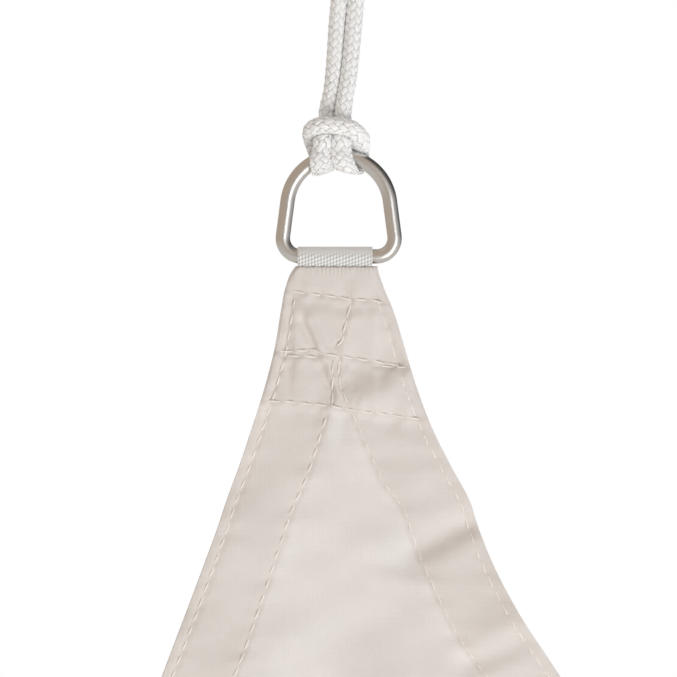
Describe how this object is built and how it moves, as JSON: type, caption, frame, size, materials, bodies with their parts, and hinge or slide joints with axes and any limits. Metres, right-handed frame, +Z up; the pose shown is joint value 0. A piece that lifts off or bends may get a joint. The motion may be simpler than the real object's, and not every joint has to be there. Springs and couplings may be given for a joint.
{
  "type": "triangular shade sail",
  "caption": "Triangular cloth shade sail hung by one corner from a hitched rope, with a webbing loop and a steel D-ring at every corner.",
  "frame": {"origin": "where the hook bears on the doubled rope, just under its end knot", "axes": "+Z up, +X to the right and along the ring's bar as the front is seen, +Y out of the cloth's back"},
  "size_m": [2.068, 0.0492, 2.0068],
  "materials": {
    "cloth": "woven polyester, cream, matt",
    "webbing": "woven strap, white",
    "steel": "brushed",
    "rope": "braided cord, white, slight gloss"
  },
  "bodies": {
    "root": {"sail_cloth": "cloth", "webbing_top": "webbing", "webbing_left": "webbing", "webbing_right": "webbing", "ring_top": "steel", "ring_left": "steel", "ring_right": "steel", "rope_hitch": "rope", "rope_strand_left": "rope", "rope_strand_right": "rope", "rope_end_knot": "rope"}
  },
  "joints": []
}
